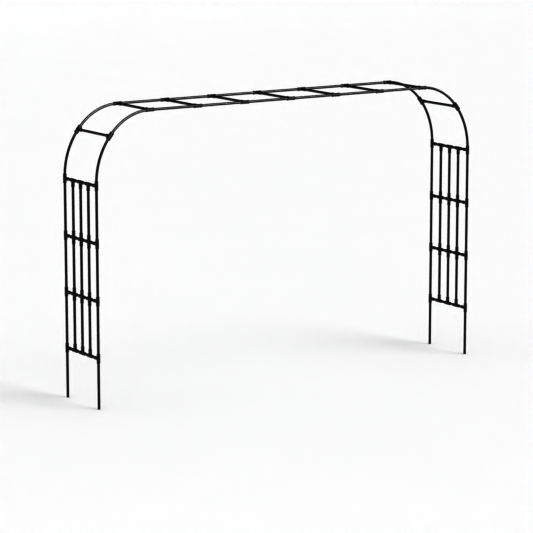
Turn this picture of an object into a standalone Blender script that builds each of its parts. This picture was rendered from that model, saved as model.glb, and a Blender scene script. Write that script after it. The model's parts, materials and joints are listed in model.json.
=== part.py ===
"""Metal trellis arch for climbing plants: two side panels, rounded corners and a ladder top."""

import math

import bmesh
import bpy
import mathutils

# ---- Driving sizes, in metres ------------------------------------------------
TUBE_OD = 0.016
TUBE_WALL = 0.0008
SOCKET_CLEARANCE = 0.0003      # radial gap between a tube and the socket round it
SLEEVE_WALL = 0.0032           # of a fitting, round the tube that passes through it
CORNER_SLEEVE_WALL = 0.0054    # the same on a bend, where the fittings are heavier
BRANCH_WALL = 0.0025           # of a fitting's side socket
FLOOR_WALL = 0.0012            # between a side socket's floor and the tube through the sleeve
SLEEVE_LENGTH = 0.056          # a fitting's sleeve, measured along the tube through it
CORNER_SLEEVE_LENGTH = 0.050
BRANCH_REACH = 0.040           # from the sleeve's axis to the mouth of the side socket
END_GAP = 0.001                # left between two tube ends, and at a socket's floor

DEPTH = 0.380                  # front frame's axis to back frame's axis
BAY_HEIGHT = 0.350             # crossbar to crossbar in a side panel
BAYS = 3
LEG_BURIED = 0.120
LEG_CLEAR = 0.312              # soil to the lowest crossbar
INNER_PITCH = 0.092            # between the upright bars inside a side panel
RUNG_PITCH = 0.341
RUNGS = 7
CORNER_STRAIGHT = 0.014        # straight tube above the top crossbar before the bend
LOWER_BEND_RADIUS = 0.447
UPPER_BEND_RADIUS = 0.345
LOWER_BEND_ANGLE = 45.0        # degrees turned on the lower radius; the rest is on the upper
CORNER_TEE_ANGLE = 38.4        # degrees turned when the path reaches the corner fitting

SIDES = 12                     # facets round every tube and socket
BEND_STEP = 4.8                # degrees of bend between two rings
SHARP_ANGLE = 40.0             # degrees between faces above which an edge is a real corner
OVERCUT = 0.002                # how far a cutter runs past the face it opens

TUBE_R = TUBE_OD / 2
BORE_R = TUBE_R - TUBE_WALL
SOCKET_R = TUBE_R + SOCKET_CLEARANCE
SLEEVE_R = SOCKET_R + SLEEVE_WALL
CORNER_SLEEVE_R = SOCKET_R + CORNER_SLEEVE_WALL
BRANCH_R = SOCKET_R + BRANCH_WALL
SOCKET_FLOOR = SOCKET_R + FLOOR_WALL   # from the sleeve's axis to the floor of a blind socket
HALF_SLEEVE = SLEEVE_LENGTH / 2
CORNER_HALF_SLEEVE = CORNER_SLEEVE_LENGTH / 2
HALF_DEPTH = DEPTH / 2

BAR_LEVELS = [LEG_BURIED + LEG_CLEAR + BAY_HEIGHT * k for k in range(BAYS + 1)]
PANEL_TOP = BAR_LEVELS[-1]
RAIL_HALF = RUNG_PITCH * (RUNGS - 1) / 2
BEND_WIDTH = (
    LOWER_BEND_RADIUS * (1 - math.cos(math.radians(LOWER_BEND_ANGLE)))
    + UPPER_BEND_RADIUS * math.cos(math.radians(LOWER_BEND_ANGLE))
)
HALF_WIDTH = RAIL_HALF + BEND_WIDTH

MATERIALS = {
    "tube": ((0.018, 0.018, 0.019, 1.0), 0.38, 0.0),
    "fitting": ((0.026, 0.026, 0.027, 1.0), 0.55, 0.0),
}


# ---- The line that one frame follows, from a foot to the middle of the top ----
def frame_path(side):
    """Stations (length along, centre, outward normal); side is +1 for right, -1 for left."""
    stations = []

    def station(length, inward, height, turned):
        centre = (side * (HALF_WIDTH - inward), height)
        normal = (side * math.cos(turned), math.sin(turned))
        stations.append((length, centre, normal))

    station(0.0, 0.0, 0.0, 0.0)
    length = PANEL_TOP + CORNER_STRAIGHT
    inward = 0.0
    height = length
    turned = 0.0
    station(length, inward, height, turned)
    bends = (
        (LOWER_BEND_RADIUS, math.radians(CORNER_TEE_ANGLE)),
        (LOWER_BEND_RADIUS, math.radians(LOWER_BEND_ANGLE - CORNER_TEE_ANGLE)),
        (UPPER_BEND_RADIUS, math.radians(90.0 - LOWER_BEND_ANGLE)),
    )
    for radius, angle in bends:
        steps = max(1, round(math.degrees(angle) / BEND_STEP))
        start = turned
        for step in range(1, steps + 1):
            after = start + angle * step / steps
            inward += radius * (math.cos(turned) - math.cos(after))
            height += radius * (math.sin(after) - math.sin(turned))
            length += radius * (after - turned)
            turned = after
            station(length, inward, height, turned)
    station(length + RAIL_HALF, HALF_WIDTH, height, turned)
    return stations


def stretch(path, start, end):
    """The part of a path between two lengths, cut exactly at both."""

    def at(length):
        for low, high in zip(path, path[1:]):
            if length <= high[0]:
                break
        share = (length - low[0]) / (high[0] - low[0])
        centre = tuple(a + (b - a) * share for a, b in zip(low[1], high[1]))
        normal = tuple(a + (b - a) * share for a, b in zip(low[2], high[2]))
        return (length, centre, normal)

    between = [station for station in path if start + 1e-6 < station[0] < end - 1e-6]
    return [at(start)] + between + [at(end)]


def frame_rings(stations, depth_at, radius):
    """Rings round a stretch of the frame line that lies at one depth."""
    rings = []
    for _, (x, z), (normal_x, normal_z) in stations:
        ring = []
        for k in range(SIDES):
            turn = 2 * math.pi * k / SIDES
            out = radius * math.cos(turn)
            ring.append((x + out * normal_x, depth_at + radius * math.sin(turn), z + out * normal_z))
        rings.append(ring)
    return rings


def straight_rings(start, end, radius):
    """Two rings round a line along one axis, with a vertex on the first cross axis."""
    axis = max(range(3), key=lambda k: abs(end[k] - start[k]))
    first, second = [k for k in range(3) if k != axis]
    rings = []
    for centre in (start, end):
        ring = []
        for k in range(SIDES):
            turn = 2 * math.pi * k / SIDES
            point = list(centre)
            point[first] += radius * math.cos(turn)
            point[second] += radius * math.sin(turn)
            ring.append(tuple(point))
        rings.append(ring)
    return rings


# ---- Solids --------------------------------------------------------------------
def mesh_object(name, mesh):
    """A scene object for a finished bmesh, with its faces turned outward."""
    bmesh.ops.recalc_face_normals(mesh, faces=mesh.faces)
    data = bpy.data.meshes.new(name)
    mesh.to_mesh(data)
    mesh.free()
    thing = bpy.data.objects.new(name, data)
    bpy.context.scene.collection.objects.link(thing)
    return thing


def rod(rings, name="rod"):
    """A solid bar through a list of rings."""
    mesh = bmesh.new()
    rows = [[mesh.verts.new(point) for point in ring] for ring in rings]
    for low, high in zip(rows, rows[1:]):
        for k in range(SIDES):
            after = (k + 1) % SIDES
            mesh.faces.new((low[k], low[after], high[after], high[k]))
    mesh.faces.new(rows[0])
    mesh.faces.new(rows[-1])
    return mesh_object(name, mesh)


def tube(outer_rings, inner_rings, name):
    """An open-ended tube between two lists of rings."""
    mesh = bmesh.new()
    outer = [[mesh.verts.new(point) for point in ring] for ring in outer_rings]
    inner = [[mesh.verts.new(point) for point in ring] for ring in inner_rings]
    for rows in (outer, inner):
        for low, high in zip(rows, rows[1:]):
            for k in range(SIDES):
                after = (k + 1) % SIDES
                mesh.faces.new((low[k], low[after], high[after], high[k]))
    for row in (0, -1):
        for k in range(SIDES):
            after = (k + 1) % SIDES
            mesh.faces.new((outer[row][k], outer[row][after], inner[row][after], inner[row][k]))
    return mesh_object(name, mesh)


def combine(name, bodies, cutters):
    """One solid from joined bodies with every cutter taken out of it."""
    whole = bodies[0]
    for operation, others in (("UNION", bodies[1:]), ("DIFFERENCE", cutters)):
        for other in others:
            other.display_type = "WIRE"
            other.hide_render = True
            step = whole.modifiers.new(operation.lower(), "BOOLEAN")
            step.operation = operation
            step.solver = "EXACT"
            step.object = other
    bpy.context.view_layer.update()
    shaped = whole.evaluated_get(bpy.context.evaluated_depsgraph_get())
    data = bpy.data.meshes.new_from_object(shaped)
    mesh = bmesh.new()
    mesh.from_mesh(data)
    bmesh.ops.remove_doubles(mesh, verts=mesh.verts, dist=0.00001)
    bmesh.ops.dissolve_degenerate(mesh, edges=mesh.edges, dist=0.00001)
    bpy.data.meshes.remove(data)
    for used in bodies + cutters:
        bpy.data.objects.remove(used, do_unlink=True)
    return mesh_object(name, mesh)


def finish(thing, slot, arch):
    """Puts a piece's origin in its middle, joins it to the arch and gives it its own material."""
    corners = [mathutils.Vector(corner) for corner in thing.bound_box]
    middle = (corners[0] + corners[6]) / 2
    thing.data.transform(mathutils.Matrix.Translation(-middle))
    thing.location = middle
    thing.parent = arch
    thing.data.shade_smooth()
    thing.data.set_sharp_from_angle(angle=math.radians(SHARP_ANGLE))
    colour, roughness, metallic = MATERIALS[slot]
    material = bpy.data.materials.new(f"{thing.name}_{slot}")
    material.use_nodes = True
    shader = material.node_tree.nodes["Principled BSDF"]
    shader.inputs["Base Color"].default_value = colour
    shader.inputs["Roughness"].default_value = roughness
    shader.inputs["Metallic"].default_value = metallic
    material.diffuse_color = colour
    thing.data.materials.clear()
    thing.data.materials.append(material)


# ---- Pieces --------------------------------------------------------------------
def frame_tube(arch, name, path, start, end, depth_at):
    """A hollow tube that follows the frame line between two lengths."""
    stations = stretch(path, start, end)
    outer = frame_rings(stations, depth_at, TUBE_R)
    inner = frame_rings(stations, depth_at, BORE_R)
    finish(tube(outer, inner, name), "tube", arch)


def straight_tube(arch, name, start, end):
    """A hollow tube along one axis."""
    outer = straight_rings(start, end, TUBE_R)
    inner = straight_rings(start, end, BORE_R)
    finish(tube(outer, inner, name), "tube", arch)


def sleeve_body(path, middle, depth_at, half_length=HALF_SLEEVE, radius=SLEEVE_R):
    """The outside of a sleeve round the frame line."""
    stations = stretch(path, middle - half_length, middle + half_length)
    return rod(frame_rings(stations, depth_at, radius))


def sleeve_bore(path, middle, depth_at, half_length=HALF_SLEEVE):
    """The hole through a sleeve round the frame line."""
    stations = stretch(path, middle - half_length - OVERCUT, middle + half_length + OVERCUT)
    return rod(frame_rings(stations, depth_at, SOCKET_R))


def side_socket(centre, toward):
    """Body and blind bore of a side socket on a sleeve, pointing along an axis."""

    def along(distance):
        return tuple(c + t * distance for c, t in zip(centre, toward))

    body = rod(straight_rings(centre, along(BRANCH_REACH), BRANCH_R))
    bore = rod(straight_rings(along(SOCKET_FLOOR), along(BRANCH_REACH + OVERCUT), SOCKET_R))
    return body, bore


def frame_tee(arch, name, path, middle, depth_at, half_length=HALF_SLEEVE, radius=SLEEVE_R):
    """A tee fitting on the frame line, its side socket facing the other frame."""
    _, (x, z), _ = stretch(path, middle - half_length, middle)[-1]
    toward = -1 if depth_at > 0 else 1
    socket_body, socket_bore = side_socket((x, depth_at, z), (0, toward, 0))
    bodies = [sleeve_body(path, middle, depth_at, half_length, radius), socket_body]
    cutters = [sleeve_bore(path, middle, depth_at, half_length), socket_bore]
    finish(combine(name, bodies, cutters), "fitting", arch)


def crossbar(arch, name, path, side, level):
    """A panel crossbar: short tubes with an end tee each side and three inner fittings."""
    x = side * HALF_WIDTH
    z = BAR_LEVELS[level]
    core_end = HALF_DEPTH - SOCKET_R - SOCKET_CLEARANCE
    bodies = [rod(straight_rings((x, -core_end, z), (x, core_end, z), TUBE_R))]
    cutters = [rod(straight_rings((x, -HALF_DEPTH, z), (x, HALF_DEPTH, z), BORE_R))]
    for end in (-1, 1):
        bodies.append(sleeve_body(path, z, end * HALF_DEPTH))
        cutters.append(sleeve_bore(path, z, end * HALF_DEPTH))
        mouth = end * (HALF_DEPTH - BRANCH_REACH)
        bodies.append(rod(straight_rings((x, end * HALF_DEPTH, z), (x, mouth, z), BRANCH_R)))
    for place in (-1, 0, 1):
        y = place * INNER_PITCH
        bodies.append(rod(straight_rings((x, y - HALF_SLEEVE, z), (x, y + HALF_SLEEVE, z), SLEEVE_R)))
        if 0 < level < BAYS:
            low = (x, y, z - HALF_SLEEVE)
            high = (x, y, z + HALF_SLEEVE)
            bodies.append(rod(straight_rings(low, high, BRANCH_R)))
            low = (x, y, z - HALF_SLEEVE - OVERCUT)
            high = (x, y, z + HALF_SLEEVE + OVERCUT)
            cutters.append(rod(straight_rings(low, high, SOCKET_R)))
        else:
            toward = 1 if level == 0 else -1
            socket_body, socket_bore = side_socket((x, y, z), (0, 0, toward))
            bodies.append(socket_body)
            cutters.append(socket_bore)
    finish(combine(name, bodies, cutters), "tube", arch)


def side_panel(arch, label, path, side):
    """Crossbars, uprights, legs and inner bars of one side."""
    for level in range(BAYS + 1):
        crossbar(arch, f"{label}_crossbar_{level + 1}", path, side, level)
    for face, depth_at in (("front", -HALF_DEPTH), ("back", HALF_DEPTH)):
        frame_tube(arch, f"{label}_{face}_leg", path, 0.0, BAR_LEVELS[0] - END_GAP / 2, depth_at)
        start = BAR_LEVELS[0] + END_GAP / 2
        frame_tube(arch, f"{label}_{face}_upright", path, start, PANEL_TOP - END_GAP / 2, depth_at)
    floor = SOCKET_FLOOR + END_GAP
    for place, word in ((-1, "front"), (0, "middle"), (1, "back")):
        low = (side * HALF_WIDTH, place * INNER_PITCH, BAR_LEVELS[0] + floor)
        high = (side * HALF_WIDTH, place * INNER_PITCH, PANEL_TOP - floor)
        straight_tube(arch, f"{label}_{word}_bar", low, high)


def rung(arch, name, x, z):
    """A straight tube between the side sockets of the front and back frames."""
    reach = HALF_DEPTH - SOCKET_FLOOR - END_GAP
    straight_tube(arch, name, (x, -reach, z), (x, reach, z))


def corner(arch, label, path):
    """Two bent tubes and a tee on each frame line, with the rung between the tees."""
    tee_at = PANEL_TOP + CORNER_STRAIGHT + LOWER_BEND_RADIUS * math.radians(CORNER_TEE_ANGLE)
    bend_end = path[-2][0]
    for face, depth_at in (("front", -HALF_DEPTH), ("back", HALF_DEPTH)):
        gap = END_GAP / 2
        frame_tube(arch, f"{label}_{face}_bend_lower", path, PANEL_TOP + gap, tee_at - gap, depth_at)
        frame_tube(arch, f"{label}_{face}_bend_upper", path, tee_at + gap, bend_end - gap, depth_at)
        name = f"{label}_{face}_corner_tee"
        frame_tee(arch, name, path, tee_at, depth_at, CORNER_HALF_SLEEVE, CORNER_SLEEVE_R)
    _, (x, z), _ = stretch(path, 0.0, tee_at)[-1]
    rung(arch, f"{label}_corner_rung", x, z)


def ladder_top(arch, paths):
    """Front and back rails, their tees and the rungs between them."""
    right = paths["right"]
    bend_end = right[-2][0]
    top = right[-1][1][1]
    for face, depth_at in (("front", -HALF_DEPTH), ("back", HALF_DEPTH)):
        reach = RAIL_HALF - END_GAP / 2
        stations = [(0.0, (-reach, top), (0.0, 1.0)), (1.0, (reach, top), (0.0, 1.0))]
        outer = frame_rings(stations, depth_at, TUBE_R)
        inner = frame_rings(stations, depth_at, BORE_R)
        finish(tube(outer, inner, f"top_{face}_rail"), "tube", arch)
        for k in range(RUNGS):
            x = RUNG_PITCH * (k - (RUNGS - 1) / 2)
            name = f"top_{face}_tee_{k + 1}"
            path = paths["right"] if x > 0 else paths["left"]
            middle = bend_end + RAIL_HALF - abs(x)
            if abs(x) < HALF_SLEEVE:
                path = [(span, (span, top), (0.0, 1.0)) for span in (-RUNG_PITCH, RUNG_PITCH)]
                middle = 0.0
            frame_tee(arch, name, path, middle, depth_at)
    for k in range(RUNGS):
        rung(arch, f"top_rung_{k + 1}", RUNG_PITCH * (k - (RUNGS - 1) / 2), top)


def build():
    """Clears the scene and makes every piece."""
    for thing in list(bpy.data.objects):
        bpy.data.objects.remove(thing, do_unlink=True)
    arch = bpy.data.objects.new("arch", None)
    bpy.context.scene.collection.objects.link(arch)
    paths = {"right": frame_path(1), "left": frame_path(-1)}
    for label, side in (("left", -1), ("right", 1)):
        side_panel(arch, label, paths[label], side)
        corner(arch, label, paths[label])
    ladder_top(arch, paths)


build()
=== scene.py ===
"""Garden trellis arch: black powder-coated steel tubes plugged into black moulded fittings.

Every tube and fitting is a piece of its own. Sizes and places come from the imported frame, and
only what the frame doesn't say (walls, bend radii, collars) is given here, in metres.
"""

import functools
import json
import math
import typing

import bmesh
import bpy
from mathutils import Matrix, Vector

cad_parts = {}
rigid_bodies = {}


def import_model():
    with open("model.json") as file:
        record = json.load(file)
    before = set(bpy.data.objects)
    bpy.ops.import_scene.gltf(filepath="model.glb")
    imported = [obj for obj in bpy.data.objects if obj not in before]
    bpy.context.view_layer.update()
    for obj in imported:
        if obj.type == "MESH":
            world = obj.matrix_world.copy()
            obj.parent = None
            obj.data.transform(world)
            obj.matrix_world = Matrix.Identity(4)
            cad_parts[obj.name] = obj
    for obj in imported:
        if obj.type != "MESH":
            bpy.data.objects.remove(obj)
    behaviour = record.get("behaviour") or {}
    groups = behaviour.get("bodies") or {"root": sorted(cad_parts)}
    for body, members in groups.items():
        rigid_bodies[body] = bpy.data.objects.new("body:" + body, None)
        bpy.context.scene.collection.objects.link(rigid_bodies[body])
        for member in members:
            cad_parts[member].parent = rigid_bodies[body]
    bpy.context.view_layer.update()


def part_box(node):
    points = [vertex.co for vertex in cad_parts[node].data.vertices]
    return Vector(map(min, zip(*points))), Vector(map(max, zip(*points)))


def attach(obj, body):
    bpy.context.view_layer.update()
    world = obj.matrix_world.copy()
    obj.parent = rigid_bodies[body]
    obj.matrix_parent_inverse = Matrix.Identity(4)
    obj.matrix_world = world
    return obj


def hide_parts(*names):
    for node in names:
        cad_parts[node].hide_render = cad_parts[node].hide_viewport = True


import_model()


# ---- Sizes -----------------------------------------------------------------------
def middle_of(node):
    """The middle of a frame node's box."""
    low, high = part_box(node)
    return (low + high) / 2


END_GAP = 0.001                # between two tube ends inside a fitting
TUBE_WALL = 0.0008
SOCKET_CLEARANCE = 0.0003      # radial, between a tube and its socket
SLEEVE_WALL = 0.0032
CORNER_SLEEVE_WALL = 0.0054    # the fittings on the bends are heavier
CORNER_HALF_SLEEVE = 0.025
BRANCH_WALL = 0.0025
FLOOR_WALL = 0.0012            # under a side socket's floor
COLLAR_LENGTH = 0.006          # the thicker band round a side socket's mouth
COLLAR_STEP = 0.0005           # how much thicker it is
FILLET = 0.0034                # where a side socket flows into its sleeve

CORNER_STRAIGHT = 0.014
LOWER_BEND_RADIUS = 0.447
UPPER_BEND_RADIUS = 0.345
LOWER_BEND_ANGLE = math.radians(45.0)
CORNER_TEE_ANGLE = math.radians(38.4)
SOIL_LEVEL = 0.120             # the legs are pushed this far into the ground

TUBE_SIDES = 32
BEND_STEP = math.radians(2.0)  # turn between two rings of a bent tube

foot_low, foot_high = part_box("right_front_leg")
TUBE_R = (foot_high.x - foot_low.x) / 2
BORE_R = TUBE_R - TUBE_WALL
SOCKET_R = TUBE_R + SOCKET_CLEARANCE
SLEEVE_R = SOCKET_R + SLEEVE_WALL
CORNER_SLEEVE_R = SOCKET_R + CORNER_SLEEVE_WALL
BRANCH_R = SOCKET_R + BRANCH_WALL
SOCKET_FLOOR = SOCKET_R + FLOOR_WALL
BLIND_END = SOCKET_FLOOR + END_GAP

HALF_WIDTH = middle_of("right_front_leg").x
HALF_DEPTH = middle_of("right_back_leg").y
FIRST_BAR = foot_high.z + END_GAP / 2
PANEL_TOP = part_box("right_front_upright")[1].z + END_GAP / 2
BAY_HEIGHT = (PANEL_TOP - FIRST_BAR) / 3
BAR_LEVELS = [FIRST_BAR + BAY_HEIGHT * k for k in range(4)]
INNER_BARS = [middle_of(f"right_{word}_bar").y for word in ("front", "middle", "back")]
TOP = middle_of("top_rung_1").z
RUNG_PLACES = [middle_of(f"top_rung_{k}").x for k in range(1, 8)]
tee_low, tee_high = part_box("top_front_tee_4")
HALF_SLEEVE = (tee_high.x - tee_low.x) / 2
BRANCH_REACH = tee_high.y + HALF_DEPTH

BEND_START = PANEL_TOP + CORNER_STRAIGHT
LOWER_BEND = LOWER_BEND_RADIUS * LOWER_BEND_ANGLE
BEND_END = BEND_START + LOWER_BEND + UPPER_BEND_RADIUS * (math.pi / 2 - LOWER_BEND_ANGLE)
CORNER_TEE = BEND_START + LOWER_BEND_RADIUS * CORNER_TEE_ANGLE

FACES = {"front": -1, "back": 1}
SIDES = {"left": -1, "right": 1}


# ---- Lines that the pieces lie on --------------------------------------------------
# A line turns a piece's own directions (along it, toward its side socket, aside) into a place.
def frame_line(side, face):
    """The line of one frame from its foot, up a panel and round the corner. Toward is inward in depth."""
    lower_x = LOWER_BEND_RADIUS * (1 - math.cos(LOWER_BEND_ANGLE))
    lower_z = LOWER_BEND_RADIUS * math.sin(LOWER_BEND_ANGLE)

    def place(along, toward, aside):
        turned = 0.0
        inward, height = 0.0, along
        if along > BEND_START:
            turned = (along - BEND_START) / LOWER_BEND_RADIUS
            inward = LOWER_BEND_RADIUS * (1 - math.cos(turned))
            height = BEND_START + LOWER_BEND_RADIUS * math.sin(turned)
        if along > BEND_START + LOWER_BEND:
            turned = LOWER_BEND_ANGLE + (along - BEND_START - LOWER_BEND) / UPPER_BEND_RADIUS
            inward = lower_x + UPPER_BEND_RADIUS * (math.cos(LOWER_BEND_ANGLE) - math.cos(turned))
            risen = UPPER_BEND_RADIUS * (math.sin(turned) - math.sin(LOWER_BEND_ANGLE))
            height = BEND_START + lower_z + risen
        if along > BEND_END:
            turned = math.pi / 2
            inward = HALF_WIDTH - RUNG_PLACES[-1] + along - BEND_END
            height = TOP
        x = side * (HALF_WIDTH - inward + aside * math.cos(turned))
        return Vector((x, face * (HALF_DEPTH - toward), height + aside * math.sin(turned)))

    return place


def straight_line(origin, along_axis, toward_axis):
    """A straight line through a point, with its two directions given as unit vectors."""
    origin, along_axis, toward_axis = Vector(origin), Vector(along_axis), Vector(toward_axis)
    aside_axis = along_axis.cross(toward_axis)

    def place(along, toward, aside):
        return origin + along_axis * along + toward_axis * toward + aside_axis * aside

    return place


# ---- Skins -------------------------------------------------------------------------
class Skin:
    """Points and faces of one piece in its own directions. Points that meet are one point.

    worn marks rims that handling has rubbed, and seam marks weld and parting lines.
    """

    def __init__(self):
        self.points, self.worn, self.seam = [], [], []
        self.faces, self.finishes = [], []
        self.known = {}

    def point(self, along, toward, aside, worn=0.0, seam=0.0):
        key = tuple(round(value * 1e6) for value in (along, toward, aside))
        if key not in self.known:
            self.known[key] = len(self.points)
            self.points.append((along, toward, aside))
            self.worn.append(worn)
            self.seam.append(seam)
        return self.known[key]

    def face(self, corners, finish=0):
        corners = [c for k, c in enumerate(corners) if c != corners[k - 1]]
        if len(corners) > 2:
            self.faces.append(corners)
            self.finishes.append(finish)

    def strip(self, low, high, finish=0, closed=True):
        """Faces between two rows of points with the same count."""
        count = len(low)
        for k in range(count if closed else count - 1):
            after = (k + 1) % count
            self.face((low[k], low[after], high[after], high[k]), finish)

    def make(self, name, place, materials, slot, *nodes):
        """The piece itself: it rides on the arch and stands for its frame nodes."""
        mesh = bpy.data.meshes.new(name)
        mesh.from_pydata([place(*point) for point in self.points], [], self.faces)
        for mark, values in (("worn", self.worn), ("seam", self.seam)):
            mesh.attributes.new(mark, "FLOAT", "POINT").data.foreach_set("value", values)
        for material in materials:
            mesh.materials.append(material)
        mesh.polygons.foreach_set("material_index", self.finishes)
        outward = bmesh.new()
        outward.from_mesh(mesh)
        bmesh.ops.recalc_face_normals(outward, faces=outward.faces)
        outward.to_mesh(mesh)
        outward.free()
        mesh.shade_smooth()
        mesh.set_sharp_from_angle(angle=math.radians(50))
        piece = bpy.data.objects.new(name, mesh)
        bpy.context.scene.collection.objects.link(piece)
        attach(piece, "root")
        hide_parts(*nodes)
        return piece


def ring(skin, along, radius, sides, worn=0.0, seam_at=()):
    """A round row of points about the piece's own line."""
    row = []
    for k in range(sides):
        turn = 2 * math.pi * k / sides
        mark = 1.0 if k in seam_at else 0.0
        row.append(skin.point(along, radius * math.cos(turn), radius * math.sin(turn), worn, mark))
    return row


# ---- Tubes -------------------------------------------------------------------------
def bend_stations(start, end):
    """Lengths along the frame line where a bent tube needs a ring."""
    count = max(1, math.ceil((end - start) / (BEND_STEP * UPPER_BEND_RADIUS)))
    return [start + (end - start) * k / count for k in range(1, count)]


def tube(name, place, start, end, stations, *nodes):
    """A hollow tube: coated outside, with sawn ends whose edges are broken, bare steel inside."""
    skin = Skin()
    rim, coat_edge = 0.0003, 0.004
    outline = [
        (start, TUBE_R - rim, 1.0),
        (start + rim * 0.3, TUBE_R - rim * 0.3, 1.0),
        (start + rim, TUBE_R, 0.7),
        (start + coat_edge, TUBE_R, 0.0),
        *((length, TUBE_R, 0.0) for length in stations),
        (end - coat_edge, TUBE_R, 0.0),
        (end - rim, TUBE_R, 0.7),
        (end - rim * 0.3, TUBE_R - rim * 0.3, 1.0),
        (end, TUBE_R - rim, 1.0),
        (end, BORE_R, 1.0),
        *((length, BORE_R, 0.0) for length in reversed(stations)),
        (start, BORE_R, 1.0),
    ]
    weld = (TUBE_SIDES // 2 + 2,)
    rows = [ring(skin, along, radius, TUBE_SIDES, worn, weld) for along, radius, worn in outline]
    first_bare = len(stations) + 8
    for k, row in enumerate(rows):
        skin.strip(row, rows[(k + 1) % len(rows)], 1 if k >= first_bare else 0)
    return skin.make(name, place, (COATED_STEEL, BARE_STEEL), "tube", *nodes)


# ---- Fittings ------------------------------------------------------------------------
class Moulding(typing.NamedTuple):
    """The outside sizes of one kind of sleeve, in metres."""

    half_length: float
    barrel_r: float
    swelling: float            # added in the middle, under and opposite a side socket
    collar_length: float
    collar_r: float

    @property
    def barrel(self):
        """From the middle to the start of a collar."""
        return self.half_length - self.collar_length

    def distance(self, along, toward, aside):
        """How far a point lies outside the sleeve."""
        away = math.hypot(toward, aside)
        fade = (1 + math.cos(math.pi * min(abs(along) / self.barrel, 1.0))) / 2
        return away - self.barrel_r - self.swelling * fade * (toward / max(away, 1e-9)) ** 2


CROSSBAR_MOULDING = Moulding(HALF_SLEEVE, SLEEVE_R - 0.0011, 0.0011, 0.006, SLEEVE_R - 0.0006)
RAIL_MOULDING = Moulding(HALF_SLEEVE, SLEEVE_R - 0.0009, 0.0, 0.010, SLEEVE_R)
CORNER_MOULDING = Moulding(CORNER_HALF_SLEEVE, CORNER_SLEEVE_R - 0.0004, 0.0, 0.004, CORNER_SLEEVE_R)


def moulded_distance(point, moulding, branches):
    """How far a point lies outside the sleeve and its side sockets, which flow together in a fillet."""
    along, toward, aside = point
    sleeve = moulding.distance(along, toward, aside)
    out = math.hypot(along, aside) - (BRANCH_R - COLLAR_STEP)
    if len(branches) == 1:
        behind = -toward * branches[0]
        out = math.hypot(max(out, 0.0), max(behind, 0.0)) + min(max(out, behind), 0.0)
    near = max(FILLET - abs(sleeve - out), 0.0) / FILLET
    return min(sleeve, out) - near * near * FILLET / 4


def settle(point, moulding, branches):
    """Moves a point onto the moulded surface."""
    step = 1e-6
    point = list(point)
    for _ in range(8):
        gap = moulded_distance(point, moulding, branches)
        slope = []
        for k in range(3):
            moved = list(point)
            moved[k] += step
            slope.append((moulded_distance(moved, moulding, branches) - gap) / step)
        size = sum(value * value for value in slope) or 1.0
        point = [value - gap * rise / size for value, rise in zip(point, slope)]
    return tuple(point)


MOUTH_SIDES = 32               # points round a sleeve's mouth
BORE_STEPS = 6                 # from the middle of a sleeve to its mouth
SPOKES = 64                    # points round a side socket


def spoke_end(k, barrel):
    """Where a spoke from a side socket meets the edge of its half of the sleeve: (along, turn)."""
    quarter = SPOKES // 4
    quadrant, share = divmod(k, quarter)
    share /= quarter
    if quadrant % 2:
        share = 1 - share
    along = barrel * min(1.0, 2 * (1 - share))
    turn = math.pi / 2 * min(1.0, 2 * share)
    along *= 1 if quadrant in (0, 3) else -1
    turn *= 1 if quadrant in (0, 1) else -1
    return along, turn


def branch_half(skin, way, moulding, branches):
    """The half of a sleeve that carries a side socket, as spokes that run down it and outward."""
    radius = BRANCH_R - COLLAR_STEP
    barrel_r = moulding.barrel_r
    collar = BRANCH_REACH - COLLAR_LENGTH
    crown = moulding.collar_r + 2.4 * FILLET
    foot = radius + 1.3 * FILLET
    steepest = min(math.radians(86), math.asin(radius / barrel_r) + 1.3 * FILLET / barrel_r)
    rows = []

    def row_of(place_on_spoke, settled=True):
        row = []
        for k in range(SPOKES):
            point = place_on_spoke(k, 2 * math.pi * k / SPOKES)
            if settled:
                point = settle(point, moulding, branches)
            seam = 1.0 if k in (0, SPOKES // 2) else 0.0
            row.append(skin.point(*point, 0.0, seam))
        rows.append(row)

    def down_the_socket(height):
        row_of(lambda k, turn: (radius * math.cos(turn), way * height, radius * math.sin(turn)), False)

    def through_the_fillet(share):
        def point(k, turn):
            along, aside = radius * math.cos(turn), radius * math.sin(turn)
            edge = steepest * math.sin(turn)
            corner = (along, way * math.sqrt(barrel_r**2 - aside**2), aside)
            low = (foot * math.cos(turn), way * barrel_r * math.cos(edge), barrel_r * math.sin(edge))
            high = (along, way * crown, aside)
            weights = ((1 - share) ** 2, 2 * share * (1 - share), share**2)
            return tuple(sum(w * p[i] for w, p in zip(weights, (high, corner, low))) for i in range(3))

        row_of(point)

    def over_the_sleeve(share):
        def point(k, turn):
            end_along, end_turn = spoke_end(k, moulding.barrel)
            along = foot * math.cos(turn) * (1 - share) + end_along * share
            edge = steepest * math.sin(turn) * (1 - share) + end_turn * share
            return (along, way * barrel_r * math.cos(edge), barrel_r * math.sin(edge))

        row_of(point)

    for height in (collar, (collar + crown) / 2, crown):
        down_the_socket(height)
    for share in (0.2, 0.4, 0.6, 0.8, 1.0):
        through_the_fillet(share)
    for share in (0.25, 0.5, 0.75, 1.0):
        over_the_sleeve(share)
    for low, high in zip(rows, rows[1:]):
        skin.strip(low, high)
    socket_mouth(skin, rows[0], way)


def plain_half(skin, way, moulding, branches):
    """The half of a sleeve without a side socket."""
    lengths = sorted({round(spoke_end(k, moulding.barrel)[0], 9) for k in range(SPOKES)})
    turns = [math.pi * (k / (MOUTH_SIDES // 2) - 0.5) for k in range(MOUTH_SIDES // 2 + 1)]
    rows = []
    for along in lengths:
        row = []
        for turn in turns:
            toward, aside = way * moulding.barrel_r * math.cos(turn), moulding.barrel_r * math.sin(turn)
            point = settle((along, toward, aside), moulding, branches)
            row.append(skin.point(*point, 0.0, 1.0 if abs(turn) < 1e-6 else 0.0))
        rows.append(row)
    for low, high in zip(rows, rows[1:]):
        skin.strip(low, high, closed=False)


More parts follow.
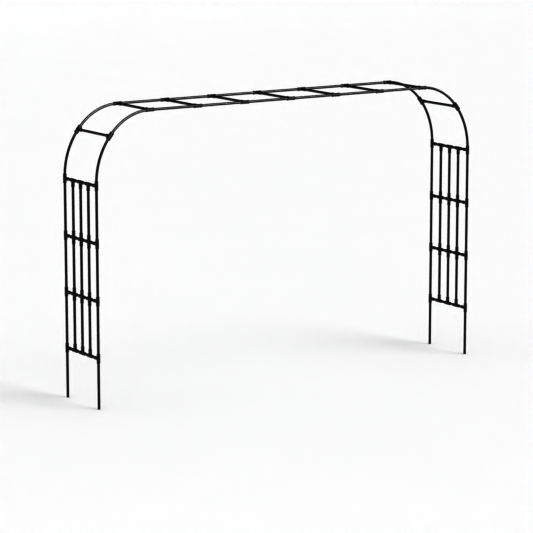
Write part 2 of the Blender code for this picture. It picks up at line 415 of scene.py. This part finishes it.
def mouth_outline(base, end, body_r, collar_r):
    """From the body of a fitting over a mouth's collar and lip into the socket: (distance, radius, worn)."""
    step = collar_r - body_r
    return (
        (base, body_r, 0.0),
        (base + 0.0003, body_r + step * 0.3, 0.1),
        (base + 0.0007, collar_r - step * 0.2, 0.3),
        (base + 0.0011, collar_r, 0.4),
        (end - 0.0008, collar_r, 0.4),
        (end - 0.0002, collar_r - 0.0003, 0.9),
        (end, collar_r - 0.0008, 0.7),
        (end, SOCKET_R + 0.0005, 0.5),
        (end - 0.0002, SOCKET_R + 0.00015, 0.5),
        (end - 0.0006, SOCKET_R, 0.0),
    )


def socket_mouth(skin, top_row, way):
    """The collar, lip and blind bore of a side socket."""
    outline = mouth_outline(BRANCH_REACH - COLLAR_LENGTH, BRANCH_REACH, BRANCH_R - COLLAR_STEP, BRANCH_R)
    below = top_row
    for distance, radius, worn in (*outline[1:], (SOCKET_FLOOR, SOCKET_R, 0.0)):
        row = []
        for k in range(SPOKES):
            turn = 2 * math.pi * k / SPOKES
            seam = 1.0 if k in (0, SPOKES // 2) and radius > SOCKET_R + 0.001 else 0.0
            place = (radius * math.cos(turn), way * distance, radius * math.sin(turn))
            row.append(skin.point(*place, worn, seam))
        skin.strip(below, row)
        below = row
    middle = skin.point(0.0, way * SOCKET_FLOOR, 0.0)
    for k in range(SPOKES):
        skin.face((below[k], below[(k + 1) % SPOKES], middle))


def sleeve_mouths(skin, moulding):
    """The collars and lips at both ends of a sleeve, and the bore between them."""
    start, end = moulding.barrel, moulding.half_length
    outline = mouth_outline(start, end, moulding.barrel_r, moulding.collar_r)
    # The bore needs rows of its own, so that on a bend it curves with the tube inside it.
    bore = [(end * (1 - k / BORE_STEPS), SOCKET_R, 0.0) for k in range(1, 2 * BORE_STEPS)]
    there_and_back = [*outline, *bore, *((-along, radius, worn) for along, radius, worn in reversed(outline))]
    rows = []
    for along, radius, worn in there_and_back:
        seam_at = (0, MOUTH_SIDES // 2) if radius > SOCKET_R + 0.001 else ()
        rows.append(ring(skin, along, radius, MOUTH_SIDES, worn, seam_at))
    for low, high in zip(rows, rows[1:]):
        skin.strip(low, high)


@functools.lru_cache
def fitting_skin(moulding, branches):
    """A fitting with one side socket (a tee) or two opposite ones (a cross)."""
    skin = Skin()
    for way in (1, -1):
        if way in branches:
            branch_half(skin, way, moulding, branches)
        else:
            plain_half(skin, way, moulding, branches)
    sleeve_mouths(skin, moulding)
    return skin


def fitting(name, moulding, line, middle, branches, *nodes):
    """A moulded fitting on a line, with its sleeve's middle at a length along it."""

    def place(along, toward, aside):
        return line(middle + along, toward, aside)

    skin = fitting_skin(moulding, branches)
    return skin.make(name, place, (MOULDED_POLYPROPYLENE,), "fitting", *nodes)


# ---- The arch's pieces -----------------------------------------------------------------
def side_panel(label, side):
    """Legs, uprights, crossbars and inner bars of one side."""
    for face, sign in FACES.items():
        line = frame_line(side, sign)
        node = f"{label}_{face}_leg"
        tube(f"{node}_tube", line, 0.0, FIRST_BAR - END_GAP / 2, (), node)
        for bay in range(3):
            node = f"{label}_{face}_upright"
            start, end = BAR_LEVELS[bay] + END_GAP / 2, BAR_LEVELS[bay + 1] - END_GAP / 2
            tube(f"{node}_tube_{bay + 1}", line, start, end, (), node)
    for level in range(4):
        crossbar(label, side, level)
    for word, y in zip(("front", "middle", "back"), INNER_BARS):
        line = straight_line((side * HALF_WIDTH, y, 0.0), (0, 0, 1), (0, 1, 0))
        for bay in range(3):
            node = f"{label}_{word}_bar"
            start, end = BAR_LEVELS[bay] + BLIND_END, BAR_LEVELS[bay + 1] - BLIND_END
            tube(f"{node}_tube_{bay + 1}", line, start, end, (), node)


def crossbar(label, side, level):
    """Four short tubes between two end tees and three inner fittings."""
    node = f"{label}_crossbar_{level + 1}"
    height = BAR_LEVELS[level]
    for face, sign in FACES.items():
        fitting(f"{node}_{face}_tee", CROSSBAR_MOULDING, frame_line(side, sign), height, (1,), node)
    line = straight_line((side * HALF_WIDTH, 0.0, height), (0, 1, 0), (0, 0, 1))
    ways = {0: (1,), 3: (-1,)}.get(level, (1, -1))
    for k, y in enumerate(INNER_BARS):
        fitting(f"{node}_inner_fitting_{k + 1}", CROSSBAR_MOULDING, line, y, ways, node)
    reach = HALF_DEPTH - BLIND_END
    ends = [-reach, *(y + half for y in INNER_BARS for half in (-END_GAP / 2, END_GAP / 2)), reach]
    for k in range(4):
        tube(f"{node}_tube_{k + 1}", line, ends[2 * k], ends[2 * k + 1], (), node)


def rung(node, x, z):
    """A straight tube from the front frame to the back frame."""
    line = straight_line((x, 0.0, z), (0, 1, 0), (0, 0, 1))
    reach = HALF_DEPTH - BLIND_END
    tube(f"{node}_tube", line, -reach, reach, (), node)


def corner(label, side):
    """The bent tubes and tees of one corner, and the rung between the tees."""
    gap = END_GAP / 2
    bends = {"lower": (PANEL_TOP + gap, CORNER_TEE - gap), "upper": (CORNER_TEE + gap, BEND_END - gap)}
    for face, sign in FACES.items():
        line = frame_line(side, sign)
        for word, (start, end) in bends.items():
            node = f"{label}_{face}_bend_{word}"
            tube(f"{node}_tube", line, start, end, bend_stations(start, end), node)
        node = f"{label}_{face}_corner_tee"
        fitting(f"{node}_fitting", CORNER_MOULDING, line, CORNER_TEE, (1,), node)
    middle = middle_of(f"{label}_corner_rung")
    rung(f"{label}_corner_rung", middle.x, middle.z)


def ladder_top():
    """Rails in six lengths, seven tees on each, and the rungs."""
    rail_half = RUNG_PLACES[-1]
    for face, sign in FACES.items():
        rail = straight_line((0.0, sign * HALF_DEPTH, TOP), (1, 0, 0), (0, -sign, 0))
        for k, (start, end) in enumerate(zip(RUNG_PLACES, RUNG_PLACES[1:])):
            node = f"top_{face}_rail"
            tube(f"{node}_tube_{k + 1}", rail, start + END_GAP / 2, end - END_GAP / 2, (), node)
        for k, x in enumerate(RUNG_PLACES):
            line = frame_line(1 if x > 0 else -1, sign)
            middle = BEND_END + rail_half - abs(x)
            node = f"top_{face}_tee_{k + 1}"
            fitting(f"{node}_fitting", RAIL_MOULDING, line, middle, (1,), node)
    for k, x in enumerate(RUNG_PLACES):
        rung(f"top_rung_{k + 1}", x, TOP)


# ---- Materials ----------------------------------------------------------------------------
def linear(hex_colour):
    """An sRGB hex colour as linear RGBA."""
    parts = [int(hex_colour[k : k + 2], 16) / 255 for k in (1, 3, 5)]
    return (*(p / 12.92 if p <= 0.04045 else ((p + 0.055) / 1.055) ** 2.4 for p in parts), 1.0)


def add(tree, kind, settings, links):
    """Adds a node, gives it its settings, and links its inputs from other nodes or their outputs.

    An input goes by its name, or by its number on a maths node, whose inputs share one name.
    """
    node = tree.nodes.new(kind)
    for name, value in settings.items():
        if hasattr(node, str(name)):
            setattr(node, name, value)
    sockets = {socket.name: socket for socket in node.inputs if socket.enabled}
    sockets.update(enumerate(node.inputs))
    for name, value in settings.items():
        if not hasattr(node, str(name)):
            sockets[name].default_value = value
    for name, source in links.items():
        if isinstance(source, bpy.types.Node):
            source = next(socket for socket in source.outputs if socket.enabled)
        tree.links.new(source, sockets[name])
    return node


def blank_material(name):
    """A material with only its place in millimetres and the marks on its skin."""
    material = bpy.data.materials.new(name)
    material.use_nodes = True
    tree = material.node_tree
    tree.nodes.clear()
    place = add(tree, "ShaderNodeTexCoord", {}, {}).outputs["Object"]
    millimetres = add(tree, "ShaderNodeVectorMath", {"operation": "SCALE", "Scale": 1000.0}, {0: place})
    worn = add(tree, "ShaderNodeAttribute", {"attribute_name": "worn"}, {}).outputs["Fac"]
    seam = add(tree, "ShaderNodeAttribute", {"attribute_name": "seam"}, {}).outputs["Fac"]
    return material, tree, millimetres, worn, seam


def finish_material(tree, settings, colour, roughness, height, depth, more_links=None):
    """Puts colour, roughness and relief, depth metres deep, onto one shader and the output."""
    relief = add(tree, "ShaderNodeBump", {"Distance": depth}, {"Height": height})
    links = {"Base Color": colour, "Roughness": roughness, "Normal": relief, **(more_links or {})}
    shader = add(tree, "ShaderNodeBsdfPrincipled", settings, links)
    add(tree, "ShaderNodeOutputMaterial", {}, {"Surface": shader})


def powder_coated_steel():
    """Mild steel tube under black polyester powder coat, baked on.

    A nearly black semi-gloss skin with an orange-peel waviness of about 3 mm, a faint weld line
    along each tube, and a slightly thinner, greyer coat where the sawn ends have been handled.
    """
    material, tree, millimetres, worn, seam = blank_material("powder_coated_steel")
    cloud = add(tree, "ShaderNodeTexNoise", {"Scale": 1 / 70, "Detail": 3.0}, {"Vector": millimetres})
    peel = add(tree, "ShaderNodeTexNoise", {"Scale": 1 / 3, "Detail": 1.0}, {"Vector": millimetres})
    powder = add(tree, "ShaderNodeTexNoise", {"Scale": 1 / 0.9, "Detail": 1.0}, {"Vector": millimetres})

    thin = add(tree, "ShaderNodeMapRange", {"From Min": 0.3, "From Max": 0.7}, {"Value": cloud})
    black = {"data_type": "RGBA", "A": linear("#131314"), "B": linear("#1a1a1b")}
    colour = add(tree, "ShaderNodeMix", black, {"Factor": thin})
    specks = {"From Min": 0.55, "From Max": 0.8, "To Max": 0.35}
    specks = add(tree, "ShaderNodeMapRange", specks, {"Value": powder})
    speckled = {"data_type": "RGBA", "B": linear("#262627")}
    colour = add(tree, "ShaderNodeMix", speckled, {"Factor": specks, "A": colour})
    rubbed = add(tree, "ShaderNodeMath", {"operation": "MULTIPLY"}, {0: worn, 1: thin})
    grey = {"data_type": "RGBA", "B": linear("#3a3a3b")}
    colour = add(tree, "ShaderNodeMix", grey, {"Factor": rubbed, "A": colour})

    gloss = {"From Min": 0.3, "From Max": 0.7, "To Min": 0.22, "To Max": 0.28}
    gloss = add(tree, "ShaderNodeMapRange", gloss, {"Value": cloud})
    roughness = add(tree, "ShaderNodeMath", {"operation": "MULTIPLY_ADD", 1: 0.07}, {0: peel, 2: gloss})

    weld = add(tree, "ShaderNodeMath", {"operation": "MULTIPLY", 1: 0.8}, {0: seam})
    height = add(tree, "ShaderNodeMath", {"operation": "MULTIPLY_ADD", 1: 0.5}, {0: peel, 2: weld})
    height = add(tree, "ShaderNodeMath", {"operation": "MULTIPLY_ADD", 1: 0.12}, {0: powder, 2: height})
    finish_material(tree, {"IOR": 1.5}, colour, roughness, height, 0.00012)
    return material


def bare_steel():
    """Mild steel as rolled and sawn, without coat: the inside of the tubes.

    A dull grey metal with brown rust bloom in patches of about 9 mm.
    """
    material, tree, millimetres, worn, seam = blank_material("bare_rolled_steel")
    patches = {"Scale": 1 / 9, "Detail": 4.0, "Roughness": 0.65}
    patches = add(tree, "ShaderNodeTexNoise", patches, {"Vector": millimetres})
    scratches = add(tree, "ShaderNodeTexNoise", {"Scale": 1 / 1.2, "Detail": 2.0}, {"Vector": millimetres})

    rust = add(tree, "ShaderNodeMapRange", {"From Min": 0.5, "From Max": 0.66}, {"Value": patches})
    steel = {"data_type": "RGBA", "A": linear("#77736d"), "B": linear("#5b3a26")}
    colour = add(tree, "ShaderNodeMix", steel, {"Factor": rust})
    metal = add(tree, "ShaderNodeMapRange", {"To Min": 1.0, "To Max": 0.15}, {"Value": rust})
    dull = add(tree, "ShaderNodeMapRange", {"To Min": 0.32, "To Max": 0.7}, {"Value": rust})
    roughness = add(tree, "ShaderNodeMath", {"operation": "MULTIPLY_ADD", 1: 0.15}, {0: scratches, 2: dull})
    finish_material(tree, {}, colour, roughness, patches, 0.0001, {"Metallic": metal})
    return material


def moulded_polypropylene():
    """Black polypropylene, injection moulded in a spark-eroded mould.

    A little greyer than the tubes, with a fine leathery grain, a parting line on the plane of the
    side socket, and rims that plugging in has polished. The real grain is 0.3 mm and is drawn at
    0.8 mm, because it wouldn't show.
    """
    material, tree, millimetres, worn, seam = blank_material("moulded_polypropylene")
    flow = add(tree, "ShaderNodeTexNoise", {"Scale": 1 / 18, "Detail": 3.0}, {"Vector": millimetres})
    grain = {"Scale": 1 / 0.8, "Detail": 2.0, "Roughness": 0.6}
    grain = add(tree, "ShaderNodeTexNoise", grain, {"Vector": millimetres})

    shade = add(tree, "ShaderNodeMapRange", {"From Min": 0.3, "From Max": 0.7}, {"Value": flow})
    black = {"data_type": "RGBA", "A": linear("#202021"), "B": linear("#2a2a2b")}
    colour = add(tree, "ShaderNodeMix", black, {"Factor": shade})
    tops = {"From Min": 0.5, "From Max": 0.8, "To Max": 0.3}
    tops = add(tree, "ShaderNodeMapRange", tops, {"Value": grain})
    grained = {"data_type": "RGBA", "B": linear("#363637")}
    colour = add(tree, "ShaderNodeMix", grained, {"Factor": tops, "A": colour})
    parting = add(tree, "ShaderNodeMath", {"operation": "POWER", 1: 3.0}, {0: seam})
    marked = {"operation": "MULTIPLY_ADD", 1: 0.6}
    marked = add(tree, "ShaderNodeMath", marked, {0: parting, 2: worn})
    marked = add(tree, "ShaderNodeMath", {"operation": "MULTIPLY", 1: 0.45}, {0: marked})
    grey = {"data_type": "RGBA", "B": linear("#4e4e4f")}
    colour = add(tree, "ShaderNodeMix", grey, {"Factor": marked, "A": colour})

    dull = {"From Min": 0.3, "From Max": 0.7, "To Min": 0.36, "To Max": 0.46}
    dull = add(tree, "ShaderNodeMapRange", dull, {"Value": flow})
    polish = add(tree, "ShaderNodeMath", {"operation": "MULTIPLY_ADD", 1: -0.12}, {0: worn, 2: dull})
    roughness = add(tree, "ShaderNodeMath", {"operation": "MULTIPLY_ADD", 1: 0.12}, {0: grain, 2: polish})

    line = add(tree, "ShaderNodeMath", {"operation": "MULTIPLY", 1: 0.9}, {0: parting})
    height = add(tree, "ShaderNodeMath", {"operation": "MULTIPLY_ADD", 1: 0.35}, {0: grain, 2: line})
    finish_material(tree, {"IOR": 1.49}, colour, roughness, height, 0.00016)
    return material


def studio_paint():
    """Matt white emulsion rolled onto a studio floor: nearly even, with a trace of roller stipple."""
    material, tree, millimetres, worn, seam = blank_material("matt_white_emulsion")
    cloud = add(tree, "ShaderNodeTexNoise", {"Scale": 1 / 900, "Detail": 2.0}, {"Vector": millimetres})
    stipple = add(tree, "ShaderNodeTexNoise", {"Scale": 1 / 12, "Detail": 2.0}, {"Vector": millimetres})
    white = {"data_type": "RGBA", "A": linear("#f5f5f4"), "B": linear("#f6f6f5")}
    colour = add(tree, "ShaderNodeMix", white, {"Factor": cloud})
    roughness = add(tree, "ShaderNodeMapRange", {"To Min": 0.8, "To Max": 0.95}, {"Value": stipple})
    finish_material(tree, {"Specular IOR Level": 0.2}, colour, roughness, stipple, 0.0001)
    return material


# ---- Studio ----------------------------------------------------------------------------------
VIEW_AZIMUTH = math.radians(-33.823)   # the camera stands in front and to the left
VIEW_ELEVATION = math.radians(10.501)
VIEW_DISTANCE = 16.677
VIEW_AIM = Vector((0.0328, 0.1297, 0.7998))
LENS = 176.3


def camera():
    """A long lens from the front left, a little above the ladder top."""
    flat = math.cos(VIEW_ELEVATION)
    back = Vector((math.sin(VIEW_AZIMUTH) * flat, -math.cos(VIEW_AZIMUTH) * flat, math.sin(VIEW_ELEVATION)))
    data = bpy.data.cameras.new("camera")
    data.lens, data.sensor_width = LENS, 36.0
    data.clip_end = 400.0
    made = bpy.data.objects.new("camera", data)
    made.location = VIEW_AIM + back * VIEW_DISTANCE
    made.rotation_mode = "QUATERNION"
    made.rotation_quaternion = (-back).to_track_quat("-Z", "Y")
    bpy.context.scene.collection.objects.link(made)
    bpy.context.scene.camera = made


def studio_floor():
    """A pale floor at soil level that curves up into a wall far away on every side."""
    skin = Skin()
    flat, curve, wall = 46.0, 8.0, 16.0
    outline = [(10.0, 0.0), (flat, 0.0)]
    for k in range(1, 9):
        turned = math.pi / 2 * k / 8
        outline.append((flat + curve * math.sin(turned), curve * (1 - math.cos(turned))))
    outline.append((flat + curve, wall))
    rows = [ring(skin, height, radius, 96) for radius, height in outline]
    skin.face(rows[0][::-1])
    for low, high in zip(rows, rows[1:]):
        skin.strip(low, high)
    line = straight_line((0.0, 0.0, SOIL_LEVEL), (0, 0, 1), (0, 1, 0))
    mesh = bpy.data.meshes.new("studio_floor")
    mesh.from_pydata([line(*point) for point in skin.points], [], skin.faces)
    mesh.materials.append(studio_paint())
    mesh.shade_smooth()
    made = bpy.data.objects.new("studio_floor", mesh)
    bpy.context.scene.collection.objects.link(made)


KEY_LAMP_WIDTH = math.radians(34)
STREAK_LAMP_WIDTH = math.radians(20)


def soft_light(name, direction, strength, width):
    """A large far lamp that shines from a direction."""
    data = bpy.data.lights.new(name, "SUN")
    data.energy, data.angle = strength, width
    made = bpy.data.objects.new(name, data)
    made.rotation_mode = "QUATERNION"
    made.rotation_quaternion = Vector(direction).to_track_quat("Z", "Y")
    made.location = Vector(direction) * 5
    bpy.context.scene.collection.objects.link(made)
    return made


def gloss_light(name, direction, strength, nodes):
    """A soft lamp that shows only as gloss, on the pieces that stand for the given frame nodes."""
    made = soft_light(name, direction, strength, STREAK_LAMP_WIDTH)
    made.visible_diffuse = False
    lit = bpy.data.collections.new(name)
    for piece in bpy.context.scene.objects:
        if piece.type == "MESH" and any(piece.name.startswith(f"{node}_") for node in nodes):
            lit.objects.link(piece)
    made.light_linking.receiver_collection = lit


def studio_light():
    """Even pale light all round and one soft key lamp."""
    world = bpy.data.worlds.new("studio")
    bpy.context.scene.world = world
    world.use_nodes = True
    background = world.node_tree.nodes["Background"]
    background.inputs["Color"].default_value = linear("#fdfdff")
    background.inputs["Strength"].default_value = 0.77
    # The surroundings stay out of the gloss, so that the black coats look black from every side.
    world.cycles_visibility.glossy = False
    soft_light("key_light", (0.35, -0.50, 0.79), 1.35, KEY_LAMP_WIDTH)
    # Shown without a tone curve, so that thin black tubes keep their full width on the white floor.
    bpy.context.scene.view_settings.view_transform = "Raw"


def streak_lights():
    """A bow of lamps in front, for the pale streak that runs along the bends and the rails.

    Each lamp reaches only the pieces it is for, or the rungs and tees would look washed out from behind.
    """
    left = [f"left_{face}_bend_{half}" for face in FACES for half in ("lower", "upper")]
    left_tees = [f"left_{face}_corner_tee" for face in FACES]
    right = [f"right_{face}_bend_upper" for face in FACES]
    top = [f"top_{face}_rail" for face in FACES]
    top += [f"top_{face}_tee_{k}" for face in FACES for k in range(1, 8)]
    gloss_light("left_bend_light_low", (-0.18, -0.82, 0.55), 3.2, left + left_tees)
    gloss_light("left_bend_light_middle", (0.02, -0.82, 0.58), 3.2, left + left_tees)
    gloss_light("left_bend_light_high", (0.27, -0.82, 0.51), 3.0, left)
    gloss_light("rail_light", (0.56, -0.78, 0.32), 4.6, left + top)
    gloss_light("right_bend_light", (0.86, -0.34, 0.36), 3.0, right)


COATED_STEEL = powder_coated_steel()
BARE_STEEL = bare_steel()
MOULDED_POLYPROPYLENE = moulded_polypropylene()

camera()
studio_floor()
studio_light()
for side_name, side_sign in SIDES.items():
    side_panel(side_name, side_sign)
    corner(side_name, side_sign)
ladder_top()
streak_lights()
